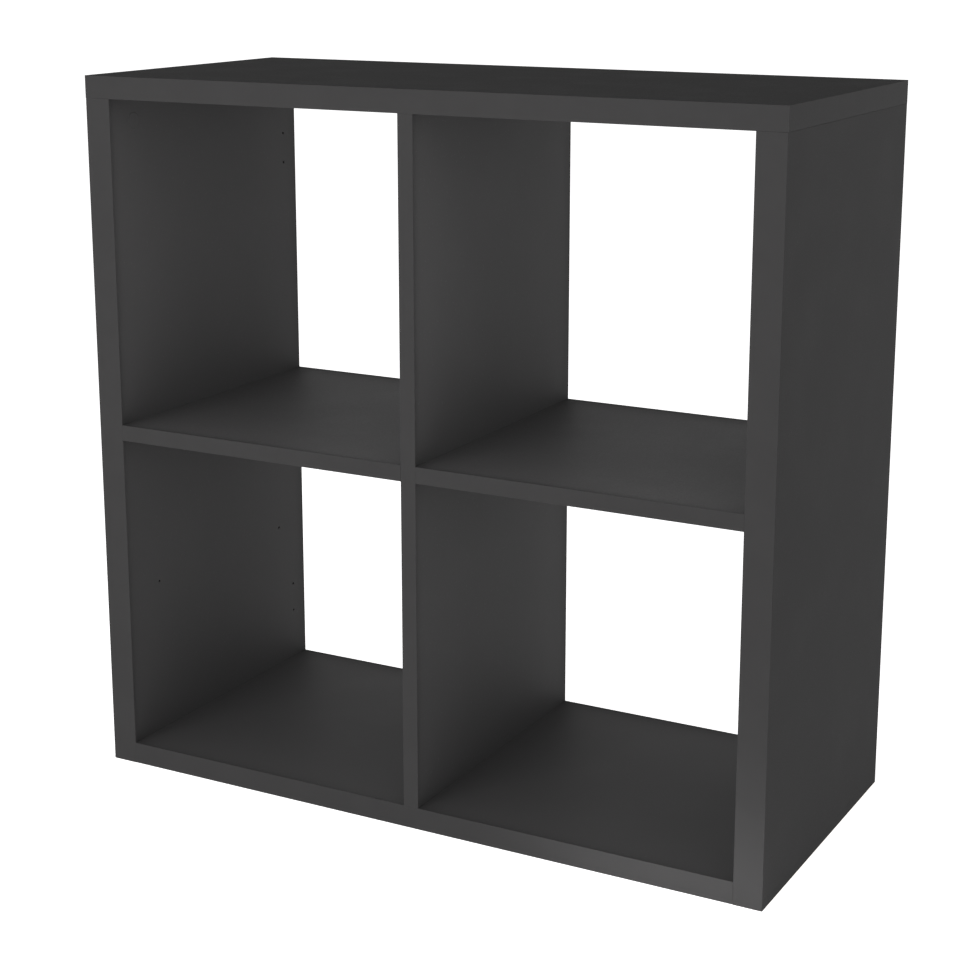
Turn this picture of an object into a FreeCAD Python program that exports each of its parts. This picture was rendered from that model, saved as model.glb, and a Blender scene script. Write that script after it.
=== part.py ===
import FreeCAD, Part
import math
import os

import Sketcher
from FreeCAD import Placement, Rotation, Vector

# An open cube storage unit: two by two square compartments that go right through,
# made of melamine board with edge bands, and held together by dowels and cam fittings.
# Millimetres. The origin is on the floor under the middle of the unit, +X is to the
# right seen from the front, +Y to the back and +Z up.
#
# Every board is made lying flat, as it is drilled: its length along X, its depth along Y
# with the front at zero, and its thickness along Z. Its Placement then stands it up.

# ---------------------------------------------------------------- driving sizes

SIZES = {
    "cube": 324,              # clear width and height of one compartment
    "depth": 320,             # front to back, bands included
    "side_board": 28,         # board of the two sides
    "shell_board": 22,        # board of the top and bottom panels
    "inner_board": 16,        # board of the divider and the shelves
    "band": 1,                # thickness of the edge bands
    "arris": 0.5,             # rounding of a band's long outer edges
    "play": 0.1,              # how much thinner a fastener is than its hole
    "cam_line": 37,           # cam fittings, in from the front and back edges
    "dowel_line": 69,         # dowels, in from the front and back edges
    "cam_backset": 24,        # a cam's centre, in from the end of its board
    "cam_bore": 15,
    "cam_bore_depth": 12.5,
    "bolt_axis": 8,           # a cam bolt's axis, in from the face that the cam is let into
    "bolt_channel": 7,        # hole in the end of a board that a cam bolt slides into
    "bolt_thread": 5,
    "bolt_thread_length": 11,
    "bolt_shank": 5.8,
    "bolt_head": 6.6,
    "bolt_head_length": 4,
    "cam_pocket": 7.2,        # cavity in a cam that takes the bolt's head
    "cam_drive": 4,           # round recess in a cam's face
    "cam_drive_depth": 2,
    "cap": 17.5,              # cover cap over a cam
    "cap_thickness": 0.3,
    "dowel": 8,
    "dowel_in_face": 12,
    "dowel_in_end": 20,
    "dowel_slack": 1,         # room left at a dowel hole's bottom
    "plate_hole": 3,          # drilled holes for optional doors and shelves
    "plate_hole_depth": 11,
    "plate_hole_setback": 23,  # hinge plate holes, in from the back edge
    "plate_hole_pitch": 32,
    "plate_hole_top": 58,     # first hole below the top panel
    "plate_hole_base": 56,    # first hole above the bottom panel
    "pin_hole_front": 50,     # shelf pin holes, in from the front edge
    "pin_hole_back": 49,      # shelf pin holes, in from the back edge
    "bracket_leg": 30,        # wall bracket: leg under the top panel, and its width
    "bracket_drop": 20,       # wall bracket: leg that lies against the wall
    "bracket_steel": 2,
    "bracket_inset": 60,      # wall bracket's middle, in from the side panel
    "bracket_bend": 1.5,      # inside radius of the bracket's bend
    "wall_hole": 5,
    "wall_hole_drop": 11,     # wall hole's centre below the top panel
    "screw_pitch": 16,
    "screw_row": 17,          # screws, in from the back edge
    "screw_shank": 3.4,
    "screw_hole": 4.2,
    "screw_head": 7,
    "screw_head_height": 2,
    "screw_length": 14,
}

document = FreeCAD.newDocument("cube_storage_unit")
sheet = document.addObject("Spreadsheet::Sheet", "Sizes")
for row, (alias, millimetres) in enumerate(SIZES.items(), start=1):
    sheet.set(f"A{row}", alias)
    sheet.set(f"B{row}", str(millimetres))
    sheet.setAlias(f"B{row}", alias)
document.recompute()


def size(alias):
    """The sheet's cell of that name, as it is written in an expression."""
    return "Sizes." + alias


def value(expression):
    """What an expression comes to now, in millimetres."""
    found = sheet.evalExpression(str(expression))
    return float(getattr(found, "Value", found))


# Lengths that follow from the driving sizes, as expressions.
INNER_SPAN = f"(2 * {size('cube')} + {size('inner_board')})"
WIDTH = f"({INNER_SPAN} + 2 * {size('side_board')})"
SIDE_LENGTH = f"({INNER_SPAN} + {size('shell_board')})"
SHELF_HEIGHT = f"({size('shell_board')} + {size('cube')})"
FRONT = f"(-{size('depth')} / 2)"
CAM_LINES = [size("cam_line"), f"({size('depth')} - {size('cam_line')})"]
DOWEL_LINES = [size("dowel_line"), f"({size('depth')} - {size('dowel_line')})"]
DOWEL_IN_END_HOLE = f"({size('dowel_in_end')} + {size('dowel_slack')})"
DOWEL_IN_FACE_HOLE = f"({size('dowel_in_face')} + {size('dowel_slack')})"
BRACKET_MIDDLES = [
    f"({size('side_board')} + {size('bracket_inset')})",
    f"({WIDTH} - {size('side_board')} - {size('bracket_inset')})",
]

FLAT = Rotation()
INNER_FACE_RIGHT = Rotation(Vector(0, 1, 0), 90)    # board's end down, its face to +X
INNER_FACE_LEFT = Rotation(Vector(0, 1, 0), -90)    # board's end up, its face to -X

pieces = []


# ---------------------------------------------------------------- how pieces are made

class Piece:
    """One node: a PartDesign body, made lying flat and then placed."""

    def __init__(self, label, base=(0, 0, 0), turn=FLAT):
        self.body = document.addObject("PartDesign::Body", label)
        self.body.Label = label
        self.body.AllowCompound = True
        self.body.Placement = Placement(Vector(), turn)
        for axis, place in zip("xyz", base):
            self.body.setExpression(f".Placement.Base.{axis}", str(place))
        pieces.append(self.body)

    def sketch(self, name, role, level):
        """An empty sketch parallel to one of the body's own origin planes."""
        plane = [f for f in self.body.Origin.OriginFeatures if f.Role == role][0]
        made = self.body.newObject("Sketcher::SketchObject", name)
        made.AttachmentSupport = [(plane, "")]
        made.MapMode = "FlatFace"
        made.setExpression(".AttachmentOffset.Base.z", str(level))
        return made

    def circles(self, name, role, level, centres, diameter):
        """A sketch of equal circles, each fixed by its diameter and its two distances."""
        made = self.sketch(name, role, level)
        for number, (across, up) in enumerate(centres):
            middle = Vector(value(across), value(up), 0)
            radius = value(diameter) / 2
            made.addGeometry(Part.Circle(middle, Vector(0, 0, 1), radius), False)
            fixed = [
                (Sketcher.Constraint("Diameter", number, 2 * radius), diameter),
                (Sketcher.Constraint("DistanceX", -1, 1, number, 3, middle.x), across),
                (Sketcher.Constraint("DistanceY", -1, 1, number, 3, middle.y), up),
            ]
            for constraint, expression in fixed:
                index = made.addConstraint(constraint)
                made.setExpression(f"Constraints[{index}]", str(expression))
        return made

    def extrude(self, kind, profile, length):
        """A Pad or a Pocket of a sketch, along its normal from the sketch's own level."""
        made = self.body.newObject(f"PartDesign::{kind}", f"{profile.Name}_{kind.lower()}")
        made.Profile = profile
        made.setExpression("Length", str(length))
        made.Reversed = kind == "Pocket"
        profile.Visibility = False
        return made

    def pad_round(self, name, role, level, centres, diameter, length):
        return self.extrude("Pad", self.circles(name, role, level, centres, diameter), length)

    def drill(self, name, role, level, centres, diameter, length):
        return self.extrude("Pocket", self.circles(name, role, level, centres, diameter), length)


class Board(Piece):
    """A rectangular board between its front and back bands, with its drillings."""

    def __init__(self, label, length, thickness, base, turn=FLAT, cam_face="bottom", end_band="0"):
        super().__init__(label, base, turn)
        self.length = length
        self.thickness = thickness
        self.cam_face = cam_face
        outline = self.sketch(f"{label}_outline", "XY_Plane", "0")
        low = Vector(value(end_band), value(size("band")), 0)
        high = Vector(value(length) - low.x, value(size("depth")) - low.y, 0)
        corners = [low, Vector(high.x, low.y, 0), high, Vector(low.x, high.y, 0)]
        for start, end in zip(corners, corners[1:] + corners[:1]):
            outline.addGeometry(Part.LineSegment(start, end), False)
        for side in range(4):
            outline.addConstraint(Sketcher.Constraint("Coincident", side, 2, (side + 1) % 4, 1))
        for side, direction in enumerate(["Horizontal", "Vertical"] * 2):
            outline.addConstraint(Sketcher.Constraint(direction, side))
        run = f"({length} - 2 * {end_band})"
        reach = f"({size('depth')} - 2 * {size('band')})"
        fixed = [
            (Sketcher.Constraint("DistanceX", 0, 1, 0, 2, high.x - low.x), run),
            (Sketcher.Constraint("DistanceY", 1, 1, 1, 2, high.y - low.y), reach),
            (Sketcher.Constraint("DistanceY", -1, 1, 0, 1, low.y), size("band")),
        ]
        if low.x > 0:
            fixed.append((Sketcher.Constraint("DistanceX", -1, 1, 0, 1, low.x), end_band))
        else:
            outline.addConstraint(Sketcher.Constraint("PointOnObject", 0, 1, -2))
        for constraint, expression in fixed:
            index = outline.addConstraint(constraint)
            outline.setExpression(f"Constraints[{index}]", str(expression))
        self.extrude("Pad", outline, thickness)

    def axis_height(self):
        """How high a cam bolt's axis runs, in from the face that the cams are let into."""
        if self.cam_face == "bottom":
            return size("bolt_axis")
        return f"({self.thickness} - {size('bolt_axis')})"

    def cam_centres(self, end):
        """Where the two cams near one end are centred."""
        across = size("cam_backset")
        if end == "far":
            across = f"({self.length} - {across})"
        return [(across, line) for line in CAM_LINES]

    def drill_face(self, name, face, centres, diameter, depth):
        level = "0" if face == "bottom" else f"({self.thickness} - {depth})"
        self.drill(name, "XY_Plane", level, centres, diameter, depth)

    def drill_end(self, name, end, lines, diameter, depth):
        level = "0" if end == "near" else f"({self.length} - {depth})"
        centres = [(line, self.axis_height()) for line in lines]
        self.drill(name, "YZ_Plane", level, centres, diameter, depth)

    def cam_joint(self, end):
        """Drillings of a board's end that is pulled up by cams: bores, channels, dowel holes."""
        tag = f"{self.body.Label}_{end}"
        face, bore, depth = self.cam_face, size("cam_bore"), size("cam_bore_depth")
        self.drill_face(f"{tag}_cam_bores", face, self.cam_centres(end), bore, depth)
        self.drill_end(f"{tag}_channels", end, CAM_LINES, size("bolt_channel"), size("cam_backset"))
        self.drill_end(f"{tag}_dowel_holes", end, DOWEL_LINES, size("dowel"), DOWEL_IN_END_HOLE)

    def butt_joint(self, name, face, across):
        """Drillings in a board's face where another board's end is pulled up to it."""
        tag = f"{self.body.Label}_{name}"
        bolts = [(across, line) for line in CAM_LINES]
        dowels = [(across, line) for line in DOWEL_LINES]
        thread, reach = size("bolt_thread"), size("bolt_thread_length")
        self.drill_face(f"{tag}_bolt_holes", face, bolts, thread, reach)
        self.drill_face(f"{tag}_dowel_holes", face, dowels, size("dowel"), DOWEL_IN_FACE_HOLE)


# ---------------------------------------------------------------- boards

def screw_spots(middle):
    """Where a wall bracket's two screws go, in the top panel's own coordinates."""
    row_at = f"({size('depth')} - {size('screw_row')})"
    half = f"{size('screw_pitch')} / 2"
    return [(f"({middle} - {half})", row_at), (f"({middle} + {half})", row_at)]


def top_panel():
    """Lies on the sides and the divider. The wall brackets screw into its underside."""
    base = (f"-{WIDTH} / 2", FRONT, SIDE_LENGTH)
    board = Board("top_panel", WIDTH, size("shell_board"), base, end_band=size("band"))
    over_side = f"({size('side_board')} - {size('bolt_axis')})"
    board.butt_joint("left", "bottom", over_side)
    board.butt_joint("middle", "bottom", f"{WIDTH} / 2")
    board.butt_joint("right", "bottom", f"({WIDTH} - {over_side})")
    pilot = f"({size('screw_shank')} + {size('play')})"
    centres = [spot for middle in BRACKET_MIDDLES for spot in screw_spots(middle)]
    board.drill_face("top_panel_pilot_holes", "bottom", centres, pilot, size("screw_length"))
    return board


def bottom_panel():
    """Stands between the sides on the floor. Its cams are underneath, out of sight."""
    base = (f"-{INNER_SPAN} / 2", FRONT, "0")
    board = Board("bottom_panel", INNER_SPAN, size("shell_board"), base)
    board.cam_joint("near")
    board.cam_joint("far")
    board.butt_joint("middle", "top", f"{INNER_SPAN} / 2")
    return board


def side_panel(hand):
    """A side, drilled on its inner face. The left one's length is measured down from its
    upper end and the right one's up from the floor, which makes them a mirrored pair."""
    label = f"{hand}_side_panel"
    left = hand == "left"
    if left:
        base, turn = (f"-{WIDTH} / 2", FRONT, SIDE_LENGTH), INNER_FACE_RIGHT
    else:
        base, turn = (f"{WIDTH} / 2", FRONT, "0"), INNER_FACE_LEFT
    board = Board(label, SIDE_LENGTH, size("side_board"), base, turn, cam_face="top")

    def up(height):
        """A height above the floor, as a distance along this board."""
        return f"({SIDE_LENGTH} - {height})" if left else height

    board.cam_joint("near" if left else "far")
    board.butt_joint("base", "top", up(size("bolt_axis")))
    board.butt_joint("shelf", "top", up(f"({SHELF_HEIGHT} + {size('bolt_axis')})"))
    rear = f"({size('depth')} - {size('plate_hole_setback')})"
    pitch = size("plate_hole_pitch")
    below_top = f"({SIDE_LENGTH} - {size('plate_hole_top')})"
    above_base = f"({size('shell_board')} + {size('plate_hole_base')})"
    heights = [below_top, f"({below_top} - {pitch})", above_base, f"({above_base} + {pitch})"]
    middle = up(f"({size('shell_board')} + {size('cube')} / 2)")
    pins = [size("pin_hole_front"), f"({size('depth')} - {size('pin_hole_back')})"]
    centres = [(up(height), rear) for height in heights] + [(middle, line) for line in pins]
    hole, depth = size("plate_hole"), size("plate_hole_depth")
    board.drill_face(f"{label}_plate_holes", "top", centres, hole, depth)
    return board


def centre_divider():
    """Stands between the bottom and top panels. Its cams are on its left face, and the
    shelves' long bolts and dowels go through it."""
    base = (f"{size('inner_board')} / 2", FRONT, size("shell_board"))
    thickness = size("inner_board")
    board = Board("centre_divider", INNER_SPAN, thickness, base, INNER_FACE_LEFT, "top")
    board.cam_joint("near")
    board.cam_joint("far")
    middle = f"{INNER_SPAN} / 2"
    bolts = [(middle, line) for line in CAM_LINES]
    dowels = [(middle, line) for line in DOWEL_LINES]
    board.drill_face("divider_bolt_holes", "bottom", bolts, size("bolt_channel"), thickness)
    board.drill_face("divider_dowel_holes", "bottom", dowels, size("dowel"), thickness)
    return board


def shelf(hand):
    """Half a shelf, between a side and the divider, with its cams underneath."""
    left_end = f"-{INNER_SPAN} / 2" if hand == "left" else f"{size('inner_board')} / 2"
    base = (left_end, FRONT, SHELF_HEIGHT)
    board = Board(f"{hand}_shelf", size("cube"), size("inner_board"), base)
    board.cam_joint("near")
    board.cam_joint("far")
    return board


# ---------------------------------------------------------------- edge bands

def band(label, extent, base, outward):
    """A glued strip of edge band: a box, with the long edges of its outer face rounded.
    outward is the axis that the outer face looks along, with its sign."""
    piece = Piece(label, base)
    strip = piece.body.newObject("PartDesign::AdditiveBox", f"{label}_strip")
    for name, expression in zip(("Length", "Width", "Height"), extent):
        strip.setExpression(name, str(expression))
    document.recompute()
    axis, sign = outward
    outer = max(sign * v.Point[axis] for v in strip.Shape.Vertexes)
    on_face = [
        (f"Edge{number}", edge)
        for number, edge in enumerate(strip.Shape.Edges, start=1)
        if all(abs(sign * v.Point[axis] - outer) < 1e-6 for v in edge.Vertexes)
    ]
    longest = max(edge.Length for _, edge in on_face)
    rounded = piece.body.newObject("PartDesign::Fillet", f"{label}_arris")
    rounded.Base = (strip, [name for name, edge in on_face if edge.Length > 0.5 * longest])
    rounded.setExpression("Radius", size("arris"))


def front_and_back_bands(label, run, thickness, base, upright):
    """The pair of bands of one board. run is its length and base its low front corner."""
    left, low = base
    across, up = (thickness, run) if upright else (run, thickness)
    extent = (across, size("band"), up)
    rear = f"({size('depth')} / 2 - {size('band')})"
    band(f"{label}_front_band", extent, (left, FRONT, low), (1, -1))
    band(f"{label}_back_band", extent, (left, rear, low), (1, 1))


def edge_bands():
    inner, shell, side = size("inner_board"), size("shell_board"), size("side_board")
    half_width, half_span = f"{WIDTH} / 2", f"{INNER_SPAN} / 2"
    front_and_back_bands("top", WIDTH, shell, (f"-{half_width}", SIDE_LENGTH), False)
    front_and_back_bands("bottom", INNER_SPAN, shell, (f"-{half_span}", "0"), False)
    front_and_back_bands("left_side", SIDE_LENGTH, side, (f"-{half_width}", "0"), True)
    front_and_back_bands("right_side", SIDE_LENGTH, side, (half_span, "0"), True)
    front_and_back_bands("divider", INNER_SPAN, inner, (f"-{inner} / 2", shell), True)
    front_and_back_bands("left_shelf", size("cube"), inner, (f"-{half_span}", SHELF_HEIGHT), False)
    front_and_back_bands("right_shelf", size("cube"), inner, (f"{inner} / 2", SHELF_HEIGHT), False)
    extent = (size("band"), f"({size('depth')} - 2 * {size('band')})", shell)
    behind_front = f"({FRONT} + {size('band')})"
    right_end = f"({half_width} - {size('band')})"
    band("top_left_band", extent, (f"-{half_width}", behind_front, SIDE_LENGTH), (0, -1))
    band("top_right_band", extent, (right_end, behind_front, SIDE_LENGTH), (0, 1))


# ---------------------------------------------------------------- fasteners

def thinner(alias):
    """A fastener's diameter: its hole's, less the play."""
    return f"({size(alias)} - {size('play')})"


def bolt_run(piece, name, role, centres, face, sign):
    """Cam bolts screwed into a face at level face: their threads go into the board, and
    their shanks and heads stand out of it along sign times the plane's normal."""
    thread, reach = size("bolt_thread_length"), size("cam_backset")
    head = size("bolt_head_length")
    neck = f"({reach} - {head} / 2)"
    stretches = [
        ("threads", f"-{thread}", thread, thinner("bolt_thread")),
        ("shanks", "0", neck, size("bolt_shank")),
        ("heads", neck, head, size("bolt_head")),
    ]
    for part, start, run, diameter in stretches:
        level = f"({face} + {start})" if sign > 0 else f"({face} - {start} - {run})"
        piece.pad_round(f"{name}_{part}", role, level, centres, diameter, run)


def upright_bolts(label, boards_face, sign, middles):
    """Upright cam bolts in the top panel's underside or the bottom panel's upper face."""
    piece = Piece(label, (f"-{WIDTH} / 2", FRONT, "0"))
    centres = [(middle, line) for middle in middles for line in CAM_LINES]
    bolt_run(piece, label, "XY_Plane", centres, boards_face, sign)


def lying_bolts(label, height):
    """Level cam bolts in the inner faces of both sides, at one height."""
    piece = Piece(label, (f"-{WIDTH} / 2", FRONT, "0"))
    centres = [(line, height) for line in CAM_LINES]
    bolt_run(piece, f"{label}_left", "YZ_Plane", centres, size("side_board"), 1)
    right_face = f"({WIDTH} - {size('side_board')})"
    bolt_run(piece, f"{label}_right", "YZ_Plane", centres, right_face, -1)


def double_bolts():
    """Bolts with a head at each end that go through the divider and join both shelves."""
    piece = Piece("shelf_double_bolts", (f"-{INNER_SPAN} / 2", FRONT, "0"))
    centres = [(line, f"({SHELF_HEIGHT} + {size('bolt_axis')})") for line in CAM_LINES]
    head = size("bolt_head_length")
    near_head = f"({size('cube')} - {size('cam_backset')} - {head} / 2)"
    shank_start = f"({near_head} + {head})"
    shank = f"({size('inner_board')} + 2 * {size('cam_backset')} - {head})"
    far_head = f"({shank_start} + {shank})"
    stretches = [
        ("near_heads", near_head, head, size("bolt_head")),
        ("shanks", shank_start, shank, size("bolt_shank")),
        ("far_heads", far_head, head, size("bolt_head")),
    ]
    for part, level, run, diameter in stretches:
        piece.pad_round(f"double_bolt_{part}", "YZ_Plane", level, centres, diameter, run)


def placed_as(board, label):
    """A new piece that shares a board's own coordinates."""
    base = [f"{board.body.Name}.Placement.Base.{axis}" for axis in "xyz"]
    return Piece(label, base, board.body.Placement.Rotation)


def cams(label, board, ends):
    """The cams let into one board: a disc, a cavity for the bolt's head and a drive recess."""
    piece = placed_as(board, label)
    low = board.cam_face == "bottom"
    floor = f"({size('cam_bore_depth')} - {size('play')})"
    deep = f"({floor} - {size('play')})"
    level = size("play") if low else f"({board.thickness} - {floor})"
    centres = [spot for end in ends for spot in board.cam_centres(end)]
    piece.pad_round(f"{label}_discs", "XY_Plane", level, centres, thinner("cam_bore"), deep)
    drive = size("cam_drive_depth")
    recess = level if low else f"({board.thickness} - {size('play')} - {drive})"
    piece.drill(f"{label}_drives", "XY_Plane", recess, centres, size("cam_drive"), drive)
    spread = f"({size('cam_bore')} / 2)"
    past = f"({size('bolt_head_length')} / 2 + {size('play')} * 5)"
    for end in ends:
        across = board.cam_centres(end)[0][0]
        start = f"({across} - {spread})" if end == "near" else f"({across} - {past})"
        heads = [(line, board.axis_height()) for line in CAM_LINES]
        run = f"({spread} + {past})"
        cavity = size("cam_pocket")
        piece.drill(f"{label}_{end}_cavities", "YZ_Plane", start, heads, cavity, run)


def caps(label, board, ends):
    """Press-in covers over one board's cams: a thin disc with a peg in the drive recess."""
    piece = placed_as(board, label)
    low = board.cam_face == "bottom"
    thin = size("cap_thickness")
    peg = f"({size('cam_drive_depth')} - {size('play')})"
    centres = [spot for end in ends for spot in board.cam_centres(end)]
    cover = f"-{thin}" if low else board.thickness
    pegs = "0" if low else f"({board.thickness} - {peg})"
    piece.pad_round(f"{label}_covers", "XY_Plane", cover, centres, size("cap"), thin)
    piece.pad_round(f"{label}_pegs", "XY_Plane", pegs, centres, thinner("cam_drive"), peg)


def dowels(label, role, groups):
    """Beech dowels that share a direction. A group is where they start, and their centres."""
    piece = Piece(label, (f"-{WIDTH} / 2", FRONT, "0"))
    length = f"({size('dowel_in_face')} + {size('dowel_in_end')})"
    for number, (level, centres, run) in enumerate(groups):
        tag = f"{label}_{number}"
        piece.pad_round(tag, role, level, centres, thinner("dowel"), run or length)


def all_dowels():
    """In from a board's end by dowel_in_end, and into the other board by dowel_in_face."""
    in_end, in_face = size("dowel_in_end"), size("dowel_in_face")
    side, shell = size("side_board"), size("shell_board")
    over_sides = [f"({side} - {size('bolt_axis')})", f"({WIDTH} - {side} + {size('bolt_axis')})"]
    middle = f"{WIDTH} / 2"
    top_spots = [(x, line) for x in over_sides + [middle] for line in DOWEL_LINES]
    dowels("top_dowels", "XY_Plane", [(f"({SIDE_LENGTH} - {in_end})", top_spots, None)])
    base_spots = [(middle, line) for line in DOWEL_LINES]
    dowels("divider_base_dowels", "XY_Plane", [(f"({shell} - {in_face})", base_spots, None)])
    left_start = f"({side} - {in_face})"
    right_start = f"({WIDTH} - {side} - {in_end})"
    for label, low in (("bottom_dowels", "0"), ("shelf_side_dowels", SHELF_HEIGHT)):
        spots = [(line, f"({low} + {size('bolt_axis')})") for line in DOWEL_LINES]
        dowels(label, "YZ_Plane", [(left_start, spots, None), (right_start, spots, None)])
    spots = [(line, f"({SHELF_HEIGHT} + {size('bolt_axis')})") for line in DOWEL_LINES]
    start = f"({middle} - {size('inner_board')} / 2 - {in_end})"
    through = f"({size('inner_board')} + 2 * {in_end})"
    dowels("shelf_through_dowels", "YZ_Plane", [(start, spots, through)])


# ---------------------------------------------------------------- wall brackets

def wall_bracket(hand, middle):
    """An L of bent steel strip under the top panel, with its short leg against the wall."""
    label = f"{hand}_wall_bracket"
    leg, drop, steel = size("bracket_leg"), size("bracket_drop"), size("bracket_steel")
    left_edge = f"(-{WIDTH} / 2 + {middle} - {leg} / 2)"
    piece = Piece(label, (left_edge, f"({size('depth')} / 2 - {leg})", SIDE_LENGTH))
    plates = [
        ("ceiling_leg", (leg, leg, steel), {"z": f"-{steel}"}),
        ("wall_leg", (leg, steel, drop), {"y": f"({leg} - {steel})", "z": f"-{drop}"}),
    ]
    for name, extent, place in plates:
        plate = piece.body.newObject("PartDesign::AdditiveBox", f"{label}_{name}")
        for side, expression in zip(("Length", "Width", "Height"), extent):
            plate.setExpression(side, str(expression))
        for axis, expression in place.items():
            plate.setExpression(f".Placement.Base.{axis}", expression)
    document.recompute()
    corner = Vector(value(leg) / 2, value(leg) - value(steel), -value(steel))
    numbered = enumerate(plate.Shape.Edges, start=1)
    inside = min(numbered, key=lambda pair: pair[1].CenterOfMass.distanceToPoint(corner))
    bend = piece.body.newObject("PartDesign::Fillet", f"{label}_bend")
    bend.Base = (plate, [f"Edge{inside[0]}"])
    bend.setExpression("Radius", size("bracket_bend"))
    half = f"{size('screw_pitch')} / 2"
    row_at = f"({leg} - {size('screw_row')})"
    screws = [(f"({leg} / 2 - {half})", row_at), (f"({leg} / 2 + {half})", row_at)]
    hole = size("screw_hole")
    piece.drill(f"{label}_screw_holes", "XY_Plane", f"-{steel}", screws, hole, steel)
    bore_the_wall_leg(piece, label, leg, steel)


def bore_the_wall_leg(piece, label, leg, steel):
    """The hole for the wall screw. The XZ plane looks along -Y, so its level is negative."""
    made = piece.sketch(f"{label}_wall_hole", "XZ_Plane", f"-{leg}")
    middle = Vector(value(leg) / 2, -value(size("wall_hole_drop")), 0)
    radius = value(size("wall_hole")) / 2
    made.addGeometry(Part.Circle(middle, Vector(0, 0, 1), radius), False)
    fixed = [
        (Sketcher.Constraint("Diameter", 0, 2 * radius), size("wall_hole")),
        (Sketcher.Constraint("DistanceX", -1, 1, 0, 3, middle.x), f"{leg} / 2"),
        (Sketcher.Constraint("DistanceY", 0, 3, -1, 1, -middle.y), size("wall_hole_drop")),
    ]
    for constraint, expression in fixed:
        index = made.addConstraint(constraint)
        made.setExpression(f"Constraints[{index}]", str(expression))
    piece.extrude("Pocket", made, steel)


def bracket_screws():
    """Pan head screws up through the brackets into the top panel."""
    piece = Piece("bracket_screws", (f"-{WIDTH} / 2", FRONT, SIDE_LENGTH))
    centres = [spot for middle in BRACKET_MIDDLES for spot in screw_spots(middle)]
    under = f"-({size('bracket_steel')} + {size('screw_head_height')})"
    head, tall = size("screw_head"), size("screw_head_height")
    piece.pad_round("screw_heads", "XY_Plane", under, centres, head, tall)
    shank_start = f"-{size('bracket_steel')}"
    piece.pad_round("screw_shanks", "XY_Plane", shank_start, centres, size("screw_shank"),
                    f"({size('screw_length')} + {size('bracket_steel')} - {size('dowel_slack')})")


# ---------------------------------------------------------------- the whole unit

def build():
    top_panel()
    bottom = bottom_panel()
    left_side, right_side = side_panel("left"), side_panel("right")
    divider = centre_divider()
    left_shelf, right_shelf = shelf("left"), shelf("right")
    edge_bands()

    over_side = f"({size('side_board')} - {size('bolt_axis')})"
    middles = [over_side, f"{WIDTH} / 2", f"({WIDTH} - {over_side})"]
    upright_bolts("top_cam_bolts", SIDE_LENGTH, -1, middles)
    upright_bolts("divider_base_bolts", size("shell_board"), 1, [f"{WIDTH} / 2"])
    lying_bolts("bottom_cam_bolts", size("bolt_axis"))
    lying_bolts("shelf_cam_bolts", f"({SHELF_HEIGHT} + {size('bolt_axis')})")
    double_bolts()

    both = ("near", "far")
    cams("left_side_cams", left_side, ("near",))
    cams("right_side_cams", right_side, ("far",))
    cams("divider_cams", divider, both)
    cams("bottom_panel_cams", bottom, both)
    cams("left_shelf_cams", left_shelf, both)
    cams("right_shelf_cams", right_shelf, both)
    caps("left_side_cam_caps", left_side, ("near",))
    caps("right_side_cam_caps", right_side, ("far",))
    caps("divider_cam_caps", divider, both)
    caps("left_shelf_cam_caps", left_shelf, both)
    caps("right_shelf_cam_caps", right_shelf, both)

    all_dowels()
    for hand, middle in zip(("left", "right"), BRACKET_MIDDLES):
        wall_bracket(hand, middle)
    bracket_screws()


def check():
    """Nothing failed, every piece is sound, and every pocket took some material away."""
    document.recompute()
    for thing in document.Objects:
        if {"Invalid", "Error"} & set(thing.State):
            raise SystemExit(f"{thing.Name} failed: {thing.State}")
        if thing.isDerivedFrom("PartDesign::Pocket"):
            cut = thing.BaseFeature.Shape.Volume - thing.Shape.Volume
            if cut < math.pi:
                raise SystemExit(f"{thing.Name} cuts only {cut:.2f} cubic millimetres")
    for body in pieces:
        if body.Shape.isNull() or not body.Shape.isValid() or not body.Shape.Solids:
            raise SystemExit(f"{body.Label} has no sound solid")


def export():
    os.makedirs("parts", exist_ok=True)
    for body in pieces:
        body.Shape.exportStep(f"parts/{body.Label}.step")
        box = body.Shape.BoundBox
        extent = " x ".join(f"{n:.1f}" for n in (box.XLength, box.YLength, box.ZLength))
        print(f"{body.Label}: {len(body.Shape.Solids)} solids, {extent} mm")


build()
check()
export()
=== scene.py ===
# %% [markdown]
# # An open cube storage unit, finished in Blender
#
# The real object is a flat pack unit of melamine-faced board: two thick sides, a top that
# lies over them, a bottom between them, and a thin divider and shelves that make four
# square compartments. Edge bands close the cut edges, and cams, bolts and dowels hold it
# together from the inside. The boards and bands arrive already built, at their real size,
# and stay as they are. This lesson gives every surface its finish, and models the small
# fittings in detail: cover caps, cams, bolts, dowels, wall brackets and their screws.

# %% Load the built parts
import math

import bmesh
import bpy
from mathutils import Matrix, Vector


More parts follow.
